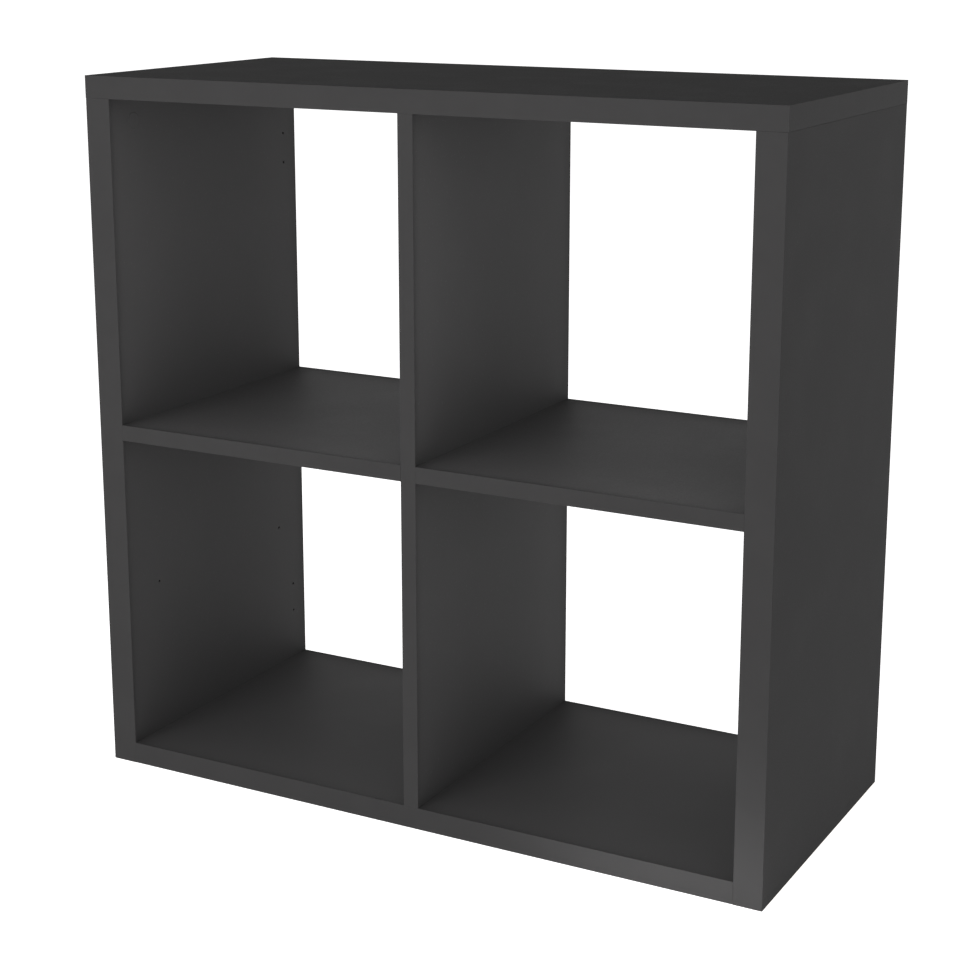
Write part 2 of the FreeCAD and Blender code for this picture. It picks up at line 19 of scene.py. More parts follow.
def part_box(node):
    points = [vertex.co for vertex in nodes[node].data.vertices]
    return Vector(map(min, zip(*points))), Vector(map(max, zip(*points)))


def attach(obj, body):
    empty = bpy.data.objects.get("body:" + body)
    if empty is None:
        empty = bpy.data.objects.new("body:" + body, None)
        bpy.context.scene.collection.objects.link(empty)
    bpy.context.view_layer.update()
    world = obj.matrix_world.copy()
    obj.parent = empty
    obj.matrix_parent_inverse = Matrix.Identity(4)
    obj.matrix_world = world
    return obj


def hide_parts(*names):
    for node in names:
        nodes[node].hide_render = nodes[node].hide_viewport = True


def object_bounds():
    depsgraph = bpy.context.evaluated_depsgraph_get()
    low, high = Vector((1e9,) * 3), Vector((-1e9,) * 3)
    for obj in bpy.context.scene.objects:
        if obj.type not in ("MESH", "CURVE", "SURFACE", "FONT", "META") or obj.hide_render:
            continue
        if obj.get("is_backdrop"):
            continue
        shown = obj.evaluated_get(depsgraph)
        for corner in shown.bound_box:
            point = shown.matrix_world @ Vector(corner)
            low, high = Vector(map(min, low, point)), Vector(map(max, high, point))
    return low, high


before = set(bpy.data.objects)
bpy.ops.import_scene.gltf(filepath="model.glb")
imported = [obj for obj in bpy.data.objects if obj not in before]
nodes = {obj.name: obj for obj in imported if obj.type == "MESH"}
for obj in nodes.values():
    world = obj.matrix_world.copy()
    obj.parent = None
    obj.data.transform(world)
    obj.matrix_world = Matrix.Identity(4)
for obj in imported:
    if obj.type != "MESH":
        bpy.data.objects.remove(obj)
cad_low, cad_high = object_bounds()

MM = 0.001
scene = bpy.context.scene
size = cad_high - cad_low
print(f"{len(nodes)} built parts, {size.x:.3f} x {size.y:.3f} x {size.z:.3f} m")

# %% [markdown]
# ## Where we stand to look at it
#
# A piece of furniture reads best from a little above its top and well to one side, so that
# the front, one side and the top all show. A long lens from well back keeps its corners
# square. The camera could be aimed at an empty, but three plain numbers, its place and
# the two angles it looks along, are easier to read and give the same picture each time.

# %% Camera
CAMERA_PLACE = Vector((0.930, -1.723, 0.847))
CAMERA_AZIMUTH = math.radians(28.5)      # how far round to the right of the front it stands
CAMERA_ELEVATION = math.radians(13.3)    # how far down it looks
CAMERA_LENS, SENSOR_WIDTH = 75.3, 36
CAMERA_RISE = -0.08                      # lens shift, which keeps the uprights nearly upright


def add_camera():
    """A still camera that looks along the two angles."""
    data = bpy.data.cameras.new("studio_camera")
    camera = bpy.data.objects.new("studio_camera", data)
    scene.collection.objects.link(camera)
    level = math.cos(CAMERA_ELEVATION)
    back = Vector((math.sin(CAMERA_AZIMUTH) * level, -math.cos(CAMERA_AZIMUTH) * level,
                   math.sin(CAMERA_ELEVATION)))
    camera.location = CAMERA_PLACE
    camera.rotation_mode = "QUATERNION"
    camera.rotation_quaternion = (-back).to_track_quat("-Z", "Y")
    data.lens = CAMERA_LENS
    data.sensor_width = SENSOR_WIDTH
    data.shift_y = CAMERA_RISE
    data.clip_start, data.clip_end = 0.05, 50
    scene.camera = camera


add_camera()
print(f"camera {(CAMERA_PLACE - (cad_low + cad_high) / 2).length:.2f} m from the unit's middle")

# %% [markdown]
# ## Small helpers for work by hand
#
# An operator acts on whatever is selected, so every step starts from nothing selected and
# then picks its faces or edges by where they are or which way they look. These helpers say
# that once. Sizes are in millimetres here, as on a drawing, and metres in the mesh.


# %% Selecting and shaping
def select_only(*things):
    """Nothing but these objects is selected, and the first one is active."""
    if bpy.context.object and bpy.context.object.mode != "OBJECT":
        bpy.ops.object.mode_set(mode="OBJECT")
    bpy.ops.object.select_all(action="DESELECT")
    for thing in things:
        thing.select_set(True)
    bpy.context.view_layer.objects.active = things[0]


def pick_faces(piece, test):
    """In edit mode, selects just the faces whose centre and normal pass the test."""
    bpy.ops.mesh.select_mode(type="FACE")
    bpy.ops.mesh.select_all(action="DESELECT")
    mesh = bmesh.from_edit_mesh(piece.data)
    for face in mesh.faces:
        if test(face.calc_center_median(), face.normal):
            face.select_set(True)
    bmesh.update_edit_mesh(piece.data)


def pick_edges(piece, test):
    """In edit mode, selects just the edges whose two ends pass the test."""
    bpy.ops.mesh.select_mode(type="EDGE")
    bpy.ops.mesh.select_all(action="DESELECT")
    mesh = bmesh.from_edit_mesh(piece.data)
    for edge in mesh.edges:
        if test(edge.verts[0].co, edge.verts[1].co):
            edge.select_set(True)
    bmesh.update_edit_mesh(piece.data)


def edit(piece):
    select_only(piece)
    bpy.ops.object.mode_set(mode="EDIT")


def done(piece):
    bpy.ops.object.mode_set(mode="OBJECT")
    return piece


def modify(piece, kind, **settings):
    """Adds a modifier, sets it and applies it."""
    select_only(piece)
    bpy.ops.object.modifier_add(type=kind)
    modifier = piece.modifiers[-1]
    for name, setting in settings.items():
        setattr(modifier, name, setting)
    bpy.ops.object.modifier_apply(modifier=modifier.name)


def settle(piece):
    """Puts a piece's place, turn and scale into its mesh, so that its origin is the world's."""
    select_only(piece)
    bpy.ops.object.transform_apply(location=True, rotation=True, scale=True)
    return piece


def cylinder(name, radius, length, vertices=32):
    """A cylinder that stands on the origin, in millimetres."""
    bpy.ops.object.select_all(action="DESELECT")
    bpy.ops.mesh.primitive_cylinder_add(
        vertices=vertices, radius=radius * MM, depth=length * MM,
        location=(0, 0, length * MM / 2))
    piece = bpy.context.object
    piece.name = name
    return settle(piece)


def block(name, low, high):
    """A box between two corners, in millimetres."""
    low, high = Vector(low) * MM, Vector(high) * MM
    bpy.ops.object.select_all(action="DESELECT")
    bpy.ops.mesh.primitive_cube_add(size=1, location=(low + high) / 2)
    piece = bpy.context.object
    piece.name = name
    piece.scale = high - low
    return settle(piece)


def cut(piece, *tools):
    """Takes the tools' shapes out of a piece, and throws the tools away."""
    for tool in tools:
        modify(piece, "BOOLEAN", operation="DIFFERENCE", object=tool, solver="EXACT")
        bpy.data.objects.remove(tool)


def extrude(across, back, up):
    """Extrudes the selected faces by a step along each axis, in millimetres."""
    bpy.ops.mesh.extrude_region_move(
        TRANSFORM_OT_translate={"value": (across * MM, back * MM, up * MM)})


def grow(length, scale=1.0):
    """Extrudes the selected end face upwards by a length, then scales it about the axis."""
    extrude(0, 0, length)
    bpy.ops.transform.resize(value=(scale, scale, 1), center_override=(0, 0, 0))


print("helpers ready")

# %% [markdown]
# ## Floor and light
#
# A dark matt object on a white floor is hard to light. Too little light and the
# compartments go black, and too much from above or behind turns the dark faces milky,
# because even a matt board mirrors at a flat angle. A studio uses a glowing table for the
# floor, a dim surround, a large soft box in front, and a weak one behind for the side.
# What the camera sees behind the unit is plain white, as a backdrop lit on its own is.

# %% Floor and world
FLOOR_GLOW, FLOOR_GLOW_SEEN = 0.70, 0.92
HORIZON, ZENITH = 0.60, 0.28             # how bright the surround is low down and high up
FADE_FROM, FADE_TO = 0.05, 0.35          # where the surround fades, as the height it looks at
FLOOR_TONE, FLOOR_ROUGHNESS = 0.86, 0.9
FLOOR_RADIUS, FLOOR_DROP = 60, 0.0005    # so wide that its rim can't be seen, and just clear


def seen_or_lit(tree, lit, seen, target):
    """Gives a socket one strength where the camera looks, and another where light falls."""
    ray = tree.nodes.new("ShaderNodeLightPath")
    choose = tree.nodes.new("ShaderNodeMix")
    tree.links.new(ray.outputs["Is Camera Ray"], choose.inputs["Factor"])
    if isinstance(lit, float):
        choose.inputs["A"].default_value = lit
    else:
        tree.links.new(lit, choose.inputs["A"])
    choose.inputs["B"].default_value = seen
    tree.links.new(choose.outputs["Result"], target)


def add_floor():
    """A wide, plain, pale floor that glows a little, where the unit stands."""
    bpy.ops.object.select_all(action="DESELECT")
    bpy.ops.mesh.primitive_circle_add(vertices=96, radius=FLOOR_RADIUS, fill_type="NGON",
                                      location=(0, 0, cad_low.z - FLOOR_DROP))
    floor = bpy.context.object
    floor.name = "studio_floor"
    material = bpy.data.materials.new("pale_studio_floor")
    material.use_nodes = True
    shader = material.node_tree.nodes["Principled BSDF"]
    shader.inputs["Base Color"].default_value = (FLOOR_TONE, FLOOR_TONE, FLOOR_TONE, 1)
    shader.inputs["Roughness"].default_value = FLOOR_ROUGHNESS
    shader.inputs["Specular IOR Level"].default_value = 0.0
    shader.inputs["Emission Color"].default_value = (1, 1, 1, 1)
    seen_or_lit(material.node_tree, FLOOR_GLOW, FLOOR_GLOW_SEEN,
                shader.inputs["Emission Strength"])
    floor.data.materials.append(material)
    floor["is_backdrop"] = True


def add_world():
    """A white surround whose light dims with height."""
    world = bpy.data.worlds.new("white_studio")
    world.use_nodes = True
    tree = world.node_tree
    shader = tree.nodes["Background"]
    shader.inputs["Color"].default_value = (1, 1, 1, 1)
    direction = tree.nodes.new("ShaderNodeTexCoord")
    split = tree.nodes.new("ShaderNodeSeparateXYZ")
    fade = tree.nodes.new("ShaderNodeMapRange")
    fade.interpolation_type = "SMOOTHSTEP"
    for socket, setting in (("From Min", FADE_FROM), ("From Max", FADE_TO),
                            ("To Min", HORIZON), ("To Max", ZENITH)):
        fade.inputs[socket].default_value = setting
    tree.links.new(direction.outputs["Generated"], split.inputs["Vector"])
    tree.links.new(split.outputs["Z"], fade.inputs["Value"])
    seen_or_lit(tree, fade.outputs["Result"], 1.0, shader.inputs["Strength"])
    scene.world = world


add_floor()
add_world()
scene.view_settings.view_transform = "Standard"
print("floor and world ready")

# %% Soft boxes
# Each box's name, place, width and height in metres, and power in watts.
SOFT_BOXES = (
    ("front_box", (-0.5, -3.2, 1.3), 2.4, 1.8, 99),
    ("back_box", (2.2, 2.6, 0.9), 1.6, 1.4, 14),
)
STRIP_WIDTH, STRIP_HEIGHT, STRIP_POWER = 0.26, 0.02, 0.17
STRIP_INSET, STRIP_RISE, STRIP_AWAY = 0.07, 0.01, 0.09


def soft_box(name, place, aim, width, height, power):
    """A rectangular area light at a place, turned towards a point, and not seen itself."""
    bpy.ops.object.select_all(action="DESELECT")
    bpy.ops.object.light_add(type="AREA", location=place)
    light = bpy.context.object
    light.name = name
    light.data.shape = "RECTANGLE"
    light.data.size, light.data.size_y = width, height
    light.data.energy = power
    light.rotation_mode = "QUATERNION"
    light.rotation_quaternion = (Vector(aim) - Vector(place)).to_track_quat("-Z", "Y")
    light.visible_camera = False


middle = (cad_low + cad_high) / 2
for name, place, width, height, power in SOFT_BOXES:
    soft_box(name, place, middle, width, height, power)
# A small low strip in front of the lower right corner makes that corner the brightest.
corner = Vector((cad_high.x - STRIP_INSET, cad_low.y, cad_low.z + STRIP_RISE))
soft_box("corner_box", corner - STRIP_AWAY * Vector((0, 1, 0)), corner,
         STRIP_WIDTH, STRIP_HEIGHT, STRIP_POWER)
print("soft boxes ready")

# %% [markdown]
# ## Light across the openings
#
# The compartments still look too dark in the middle, where little of the boxes' light gets
# in. So each opening gets a faint sheet of light in front and another behind, just outside
# the boards and facing inwards. A brighter floor would do it too, but it would also light
# the undersides.

# %% Light across the openings
SHEET_SIZE, SHEET_GAP = 0.31, 0.002      # how large each sheet is, and how far off the boards
LOWER_POWERS = (0.35, 0.31)              # watts, in front and behind
UPPER_POWERS = (0.56, 0.26)


def light_openings():
    """A faint area light in front of each compartment and one behind it."""
    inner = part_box("left_side_panel")[1].x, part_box("right_side_panel")[0].x
    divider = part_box("centre_divider")
    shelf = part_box("left_shelf")
    rows = ((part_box("bottom_panel")[1].z, shelf[0].z, LOWER_POWERS),
            (shelf[1].z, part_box("top_panel")[0].z, UPPER_POWERS))
    columns = ((inner[0], divider[0].x), (divider[1].x, inner[1]))
    planes = (cad_low.y - SHEET_GAP, cad_high.y + SHEET_GAP)
    for low, high, powers in rows:
        for left, right in columns:
            for plane, power in zip(planes, powers):
                x, z = (left + right) / 2, (low + high) / 2
                soft_box(f"opening_{x:.2f}_{plane:.2f}_{z:.2f}", (x, plane, z), (x, 0, z),
                         SHEET_SIZE, SHEET_SIZE, power)


light_openings()

# %% [markdown]
# ## The boards' finish
#
# The boards are faced with melamine: printed paper soaked in hard resin and pressed against
# a steel plate. The plate leaves a fine pearl texture, so the surface is matt, almost even
# in colour, and breaks up a reflection into a soft sheen. Real board also shows faint
# clouding from the press, tiny bright specks, light rubbing along its edges and the smudges
# of hands. All of it is small, and is made from noise at the sizes that it really has. The
# paler edges are partly rubbing and partly a painted highlight.


# %% Node helpers
def new_material(name, colour, roughness, specular=0.5, metallic=0.0):
    """A Principled material whose even settings sit on the shader's own sockets."""
    material = bpy.data.materials.new(name)
    material.use_nodes = True
    material.diffuse_color = (*colour, 1)
    shader = material.node_tree.nodes["Principled BSDF"]
    shader.inputs["Base Color"].default_value = (*colour, 1)
    shader.inputs["Roughness"].default_value = roughness
    shader.inputs["Specular IOR Level"].default_value = specular
    shader.inputs["Metallic"].default_value = metallic
    return material, material.node_tree, shader


def node(tree, kind, **settings):
    """A shader node with its own settings and its sockets' constants."""
    made = tree.nodes.new(kind)
    sockets = settings.pop("sockets", {})
    for name, setting in settings.items():
        setattr(made, name, setting)
    for name, setting in sockets.items():
        made.inputs[name].default_value = setting
    return made


def noise(tree, grain, detail=2.0, stretch=(1, 1, 1)):
    """Noise on the object's own coordinates, grain being its feature size in millimetres."""
    place = node(tree, "ShaderNodeTexCoord")
    scale = node(tree, "ShaderNodeMapping", sockets={"Scale": stretch})
    tree.links.new(place.outputs["Object"], scale.inputs["Vector"])
    made = node(tree, "ShaderNodeTexNoise",
                sockets={"Scale": 1 / (grain * MM), "Detail": detail, "Roughness": 0.6})
    tree.links.new(scale.outputs["Vector"], made.inputs["Vector"])
    return made.outputs["Fac"]


def remap(tree, factor, low, high, out_low=0.0, out_high=1.0):
    """Spreads part of a value's range over another range."""
    made = node(tree, "ShaderNodeMapRange", sockets={
        "From Min": low, "From Max": high, "To Min": out_low, "To Max": out_high})
    tree.links.new(factor, made.inputs["Value"])
    return made.outputs["Result"]


def mix_colour(tree, factor, first, second):
    """Mixes two colours, each a tuple or another node's output."""
    made = node(tree, "ShaderNodeMix", data_type="RGBA")
    tree.links.new(factor, made.inputs["Factor"])
    for socket, colour in (("A", first), ("B", second)):
        target = [i for i in made.inputs if i.name == socket and i.type == "RGBA"][0]
        if isinstance(colour, tuple):
            target.default_value = (*colour, 1)
        else:
            tree.links.new(colour, target)
    return [o for o in made.outputs if o.type == "RGBA"][0]


def combine(tree, operation, first, second):
    """One step of arithmetic on two values, each a number or another node's output."""
    made = node(tree, "ShaderNodeMath", operation=operation)
    for index, term in enumerate((first, second)):
        if isinstance(term, (int, float)):
            made.inputs[index].default_value = term
        else:
            tree.links.new(term, made.inputs[index])
    return made.outputs["Value"]


def stain(tree, tone, colour, where, strength):
    """Mixes a colour into a tone where a pattern is high, at most by the strength."""
    return mix_colour(tree, combine(tree, "MULTIPLY", where, strength), tone, colour)


def paler_edges(tree, width, patches):
    """How much paler a point is painted: 0 on the flat, rising towards an edge, and only in
    patches.
    """
    rounded = node(tree, "ShaderNodeBevel", samples=4, sockets={"Radius": width * MM})
    plain = node(tree, "ShaderNodeNewGeometry")
    dot = node(tree, "ShaderNodeVectorMath", operation="DOT_PRODUCT")
    tree.links.new(rounded.outputs["Normal"], dot.inputs[0])
    tree.links.new(plain.outputs["Normal"], dot.inputs[1])
    return combine(tree, "MULTIPLY", remap(tree, dot.outputs["Value"], 1.0, 0.85), patches)


def plug(tree, shader, tone, roughness):
    """Gives a shader its patterned colour and roughness."""
    tree.links.new(tone, shader.inputs["Base Color"])
    tree.links.new(roughness, shader.inputs["Roughness"])


def bump(tree, shader, *layers):
    """Lays bumps over each other. A layer is a height, and its depth in millimetres."""
    normal = None
    for height, depth in layers:
        made = node(tree, "ShaderNodeBump", sockets={"Strength": 1.0, "Distance": depth * MM})
        tree.links.new(height, made.inputs["Height"])
        if normal is not None:
            tree.links.new(normal, made.inputs["Normal"])
        normal = made.outputs["Normal"]
    tree.links.new(normal, shader.inputs["Normal"])


print("node helpers ready")

# %% Melamine board
BOARD_TONE = (0.0335, 0.0328, 0.0331)
BOARD_ROUGHNESS, BOARD_SPECULAR = 0.6, 0.03
BOARD_DARK = tuple(0.82 * tone for tone in BOARD_TONE)
BOARD_PALE = tuple(1.9 * tone for tone in BOARD_TONE)
CORE_PALE, CORE_DARK = (0.42, 0.31, 0.19), (0.22, 0.14, 0.08)
CORE_FLAKE, CORE_RISE = 1.8, 0.5         # flakes, and how far up counts as the lowest face


def raw_core(tree, tone):
    """Bare particle board where a board stands on the floor: its lowest, down-facing face."""
    place = node(tree, "ShaderNodeTexCoord")
    height = node(tree, "ShaderNodeSeparateXYZ")
    tree.links.new(place.outputs["Object"], height.inputs["Vector"])
    facing = node(tree, "ShaderNodeSeparateXYZ")
    tree.links.new(place.outputs["Normal"], facing.inputs["Vector"])
    low = combine(tree, "LESS_THAN", height.outputs["Z"], CORE_RISE * MM)
    down = combine(tree, "LESS_THAN", facing.outputs["Z"], -0.9)
    flakes = node(tree, "ShaderNodeTexVoronoi", sockets={"Scale": 1 / (CORE_FLAKE * MM)})
    tree.links.new(place.outputs["Object"], flakes.inputs["Vector"])
    chips = mix_colour(tree, flakes.outputs["Distance"], CORE_PALE, CORE_DARK)
    return mix_colour(tree, combine(tree, "MULTIPLY", low, down), tone, chips)


def melamine(name, shows_core=False):
    """Matt anthracite melamine: clouding, specks, pearl texture, smudges, and paler edges that
    are partly rubbing and partly a painted highlight.
    """
    material, tree, shader = new_material(name, BOARD_TONE, BOARD_ROUGHNESS, BOARD_SPECULAR)
    cloud = remap(tree, noise(tree, 45, 3), 0.35, 0.65)
    grain = remap(tree, noise(tree, 1.3, 2), 0.3, 0.7)
    tone = stain(tree, BOARD_TONE, BOARD_DARK, cloud, 0.10)
    tone = stain(tree, tone, BOARD_DARK, grain, 0.22)
    tone = stain(tree, tone, BOARD_PALE, remap(tree, noise(tree, 2.2, 0), 0.76, 0.82), 0.25)
    # Paler along the edges, in patches: partly rubbing, partly a painted highlight on the edges.
    pale_edge = paler_edges(tree, 0.8, remap(tree, noise(tree, 18, 4), 0.4, 0.7))
    tone = stain(tree, tone, BOARD_PALE, pale_edge, 0.5)
    if shows_core:
        tone = raw_core(tree, tone)
    smudge = remap(tree, noise(tree, 70, 3), 0.45, 0.7, 0.0, -0.03)
    sheen = combine(tree, "ADD", remap(tree, grain, 0, 1, 0.56, 0.66), smudge)
    plug(tree, shader, tone, sheen)
    bump(tree, shader, (noise(tree, 0.7, 1), 0.012), (noise(tree, 3.5, 1), 0.02))
    return material


def edge_band_finish():
    """The plastic edge band: as dull as the board, more even, and paler along its edges, partly
    rubbing and partly a painted highlight.
    """
    material, tree, shader = new_material("anthracite_edge_band", BOARD_TONE, 0.58, 0.035)
    cloud = remap(tree, noise(tree, 30, 3), 0.35, 0.65)
    tone = stain(tree, BOARD_TONE, BOARD_DARK, cloud, 0.25)
    # Paler along the band's edges, in patches: partly rubbing, partly a painted highlight.
    pale_edge = paler_edges(tree, 0.6, remap(tree, noise(tree, 12, 4), 0.35, 0.7))
    tone = stain(tree, tone, BOARD_PALE, pale_edge, 0.6)
    plug(tree, shader, tone, remap(tree, noise(tree, 2, 2), 0.3, 0.7, 0.54, 0.62))
    bump(tree, shader, (noise(tree, 0.9, 1), 0.010))
    return material


BOARD_NODES = ["top_panel", "bottom_panel", "centre_divider", "left_shelf", "right_shelf"]
SIDE_NODES = ["left_side_panel", "right_side_panel"]
BAND_NODES = sorted(name for name in nodes if name.endswith("_band"))


def give(names, material):
    """Puts one material on built parts, in every slot that they have."""
    for name in names:
        slots = nodes[name].data.materials
        slots.clear()
        slots.append(material)


give(BOARD_NODES, melamine("anthracite_melamine"))
give(SIDE_NODES, melamine("anthracite_melamine_on_core", shows_core=True))
give(BAND_NODES, edge_band_finish())
print(f"{len(BOARD_NODES + SIDE_NODES)} boards and {len(BAND_NODES)} bands finished")

# %% [markdown]
# ## Where the fittings go
#
# Each fitting is modelled once, upright, with the board's face that it belongs to at height
# zero and the air above it. Copies are then turned and moved to their seats. A seat is a
# place on a face, the way out of that face, and the way that the fitting's own front looks.
# The seats come from the built parts, so the fittings and the boards can't drift apart.

# %% Lines and faces
X, Y, Z = Vector((1, 0, 0)), Vector((0, 1, 0)), Vector((0, 0, 1))
CAM_RADIUS, DOWEL_RADIUS, HEAD_RADIUS = 7.45, 3.95, 3.3


def ends(name, axis, radius):
    """The first and last centres, along one axis, of round pieces in a built part."""
    low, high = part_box(name)
    return low[axis] + radius * MM, high[axis] - radius * MM


def centre(name, axis):
    low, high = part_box(name)
    return (low[axis] + high[axis]) / 2


LEFT_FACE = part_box("left_side_panel")[1].x         # the inner faces of the two sides
RIGHT_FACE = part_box("right_side_panel")[0].x
UNDER_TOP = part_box("top_panel")[0].z
OVER_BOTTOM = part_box("bottom_panel")[1].z
UNDER_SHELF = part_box("left_shelf")[0].z
DIVIDER_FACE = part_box("centre_divider")[0].x
CAM_LINES = ends("left_side_cams", 1, CAM_RADIUS)
DOWEL_LINES = ends("top_dowels", 1, DOWEL_RADIUS)
print("cams at y", [round(y, 4) for y in CAM_LINES], "dowels at y",
      [round(y, 4) for y in DOWEL_LINES])

# %% Cam seats
def cam_seats():
    """For each board with cams: places on its face, the way out, and the way to the bolt."""
    seats = {}
    high = centre("left_side_cams", 2)
    seats["left_side"] = [((LEFT_FACE, y, high), X, Z) for y in CAM_LINES]
    seats["right_side"] = [((RIGHT_FACE, y, high), -X, Z) for y in CAM_LINES]
    low, high = ends("divider_cams", 2, CAM_RADIUS)
    seats["divider"] = [((DIVIDER_FACE, y, z), -X, way)
                        for y in CAM_LINES for z, way in ((low, -Z), (high, Z))]
    for name, face in (("bottom_panel", 0), ("left_shelf", UNDER_SHELF),
                       ("right_shelf", UNDER_SHELF)):
        near, far = ends(f"{name}_cams", 0, CAM_RADIUS)
        seats[name] = [((x, y, face), -Z, way)
                       for y in CAM_LINES for x, way in ((near, -X), (far, X))]
    return seats


CAM_SEATS = cam_seats()
print({name: len(seats) for name, seats in CAM_SEATS.items()})

# %% Setting copies in their seats
def seat(model, place, out, front):
    """A copy of the model, with its own mesh, turned and moved to one seat."""
    copy = model.copy()
    copy.data = model.data.copy()
    scene.collection.objects.link(copy)
    turn = Matrix((front, out.cross(front), out)).transposed().to_4x4()
    copy.matrix_world = Matrix.Translation(Vector(place)) @ turn
    return settle(copy)


def fit(name, model, seats):
    """Copies in all their seats, joined into the one piece that stands for a built part."""
    copies = [seat(model, *one) for one in seats]
    select_only(*copies)
    if len(copies) > 1:
        bpy.ops.object.join()
    piece = copies[0]
    piece.name = piece.data.name = f"{name}_shaped"
    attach(piece, "root")
    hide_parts(name)


def fit_all(model, sets):
    """Fits a model's copies for each built part that stands for them, then drops the model."""
    for name, seats in sets.items():
        fit(name, model, seats)
    count = sum(len(seats) for seats in sets.values())
    print(f"{model.name}: {count} in {', '.join(sets)}")
    bpy.data.objects.remove(model)


def finish_model(model, material, angle=35):
    """Merges doubles, turns faces outwards, smooths what is round and adds the material."""
    edit(model)
    bpy.ops.mesh.select_all(action="SELECT")
    bpy.ops.mesh.remove_doubles(threshold=0.002 * MM)
    bpy.ops.mesh.normals_make_consistent(inside=False)
    done(model)
    select_only(model)
    bpy.ops.object.shade_smooth_by_angle(angle=math.radians(angle))
    edit(model)
    pick_faces(model, lambda place, way: max(abs(way.x), abs(way.y), abs(way.z)) > 0.9999)
    bpy.ops.mesh.faces_shade_flat()
    done(model)
    model.data.materials.clear()
    model.data.materials.append(material)
    return model


def turned(name, profile, vertices=32):
    """A turned part: a disc drawn up through a list of heights and radii in millimetres."""
    height, radius = profile[0]
    bpy.ops.object.select_all(action="DESELECT")
    bpy.ops.mesh.primitive_circle_add(vertices=vertices, radius=radius * MM,
                                      fill_type="NGON", location=(0, 0, height * MM))
    piece = bpy.context.object
    piece.name = name
    edit(settle(piece))
    bpy.ops.mesh.select_mode(type="FACE")
    bpy.ops.mesh.select_all(action="SELECT")
    for next_height, next_radius in profile[1:]:
        grow(next_height - height, next_radius / radius)
        height, radius = next_height, next_radius
    return done(piece)


def cross_recess(across, width, low, high):
    """Two crossed bars that cut a driver's recess between two heights."""
    return [block("recess_bar", (-across / 2, -width / 2, low), (across / 2, width / 2, high)),
            block("recess_bar", (-width / 2, -across / 2, low), (width / 2, across / 2, high))]


print("ready to set fittings in place")

# %% [markdown]
# ## Metal, plastic and wood for the fittings
#
# Bare metal gets its look from roughness, not colour: bright zinc plating is smooth with
# fine turning marks, die-cast zinc is duller and a little pitted, and powder coat is a
# black skin with an orange-peel surface. Beech has short dark flecks along its grain.


# %% Metals
ZINC_PALE, ZINC_DULL = (0.62, 0.64, 0.67), (0.50, 0.52, 0.54)
CAST_PALE, CAST_DULL, CAST_PIT = (0.50, 0.50, 0.51), (0.38, 0.38, 0.39), (0.2, 0.2, 0.2)
POWDER_TONE, POWDER_RUBBED = (0.022, 0.022, 0.024), (0.07, 0.07, 0.073)


def plated_steel():
    """Bright zinc plating: bluish white, with faint clouding and fine marks."""
    material, tree, shader = new_material("zinc_plated_steel", (0.60, 0.62, 0.65), 0.32, 0.5, 1.0)
    tone = mix_colour(tree, remap(tree, noise(tree, 2.5, 3), 0.35, 0.7), ZINC_PALE, ZINC_DULL)
    plug(tree, shader, tone, remap(tree, noise(tree, 0.5, 2), 0.3, 0.7, 0.24, 0.42))
    bump(tree, shader, (noise(tree, 0.25, 2), 0.01))
    return material


def cast_zinc():
    """Die-cast zinc: dull grey, slightly pitted, darker in patches where it has oxidised."""
    material, tree, shader = new_material("die_cast_zinc", (0.48, 0.48, 0.49), 0.5, 0.5, 1.0)
    patch = remap(tree, noise(tree, 3, 4), 0.35, 0.65)
    pits = remap(tree, noise(tree, 0.6, 2), 0.62, 0.75)
    tone = stain(tree, mix_colour(tree, patch, CAST_PALE, CAST_DULL), CAST_PIT, pits, 0.5)
    plug(tree, shader, tone, remap(tree, patch, 0, 1, 0.42, 0.6))
    bump(tree, shader, (noise(tree, 0.7, 3), 0.04), (noise(tree, 0.2, 1), 0.01))
    return material


def powder_coat():
    """Black powder coat: fine orange peel, worn to a paler grey along the edges."""
    material, tree, shader = new_material("black_powder_coat", POWDER_TONE, 0.6, 0.15)
    pale_edge = paler_edges(tree, 0.3, remap(tree, noise(tree, 3, 3), 0.45, 0.7))
    tone = mix_colour(tree, pale_edge, POWDER_TONE, POWDER_RUBBED)
    plug(tree, shader, tone, remap(tree, noise(tree, 1.2, 2), 0.3, 0.7, 0.54, 0.66))
    bump(tree, shader, (noise(tree, 0.8, 1), 0.03))
    return material


PLATED, CAST, POWDER = plated_steel(), cast_zinc(), powder_coat()
print("metals ready")

# %% Cap plastic and beech
BEECH_PALE, BEECH_DARK, BEECH_FLECK = (0.60, 0.42, 0.25), (0.48, 0.31, 0.17), (0.27, 0.15, 0.08)
ALONG_GRAIN = 0.12                       # how much slower the pattern changes along the grain


def cap_finish():
    """Moulded plastic in the board's own colour, as dull as the board, with a fine grain."""
    material, tree, shader = new_material(
        "anthracite_cap_plastic", BOARD_TONE, BOARD_ROUGHNESS, BOARD_SPECULAR)
    grain = remap(tree, noise(tree, 1.3, 2), 0.3, 0.7)
    tone = stain(tree, BOARD_TONE, BOARD_DARK, grain, 0.3)
    plug(tree, shader, tone, remap(tree, noise(tree, 0.8, 2), 0.3, 0.7, 0.56, 0.66))
    bump(tree, shader, (noise(tree, 0.35, 1), 0.008))
    return material


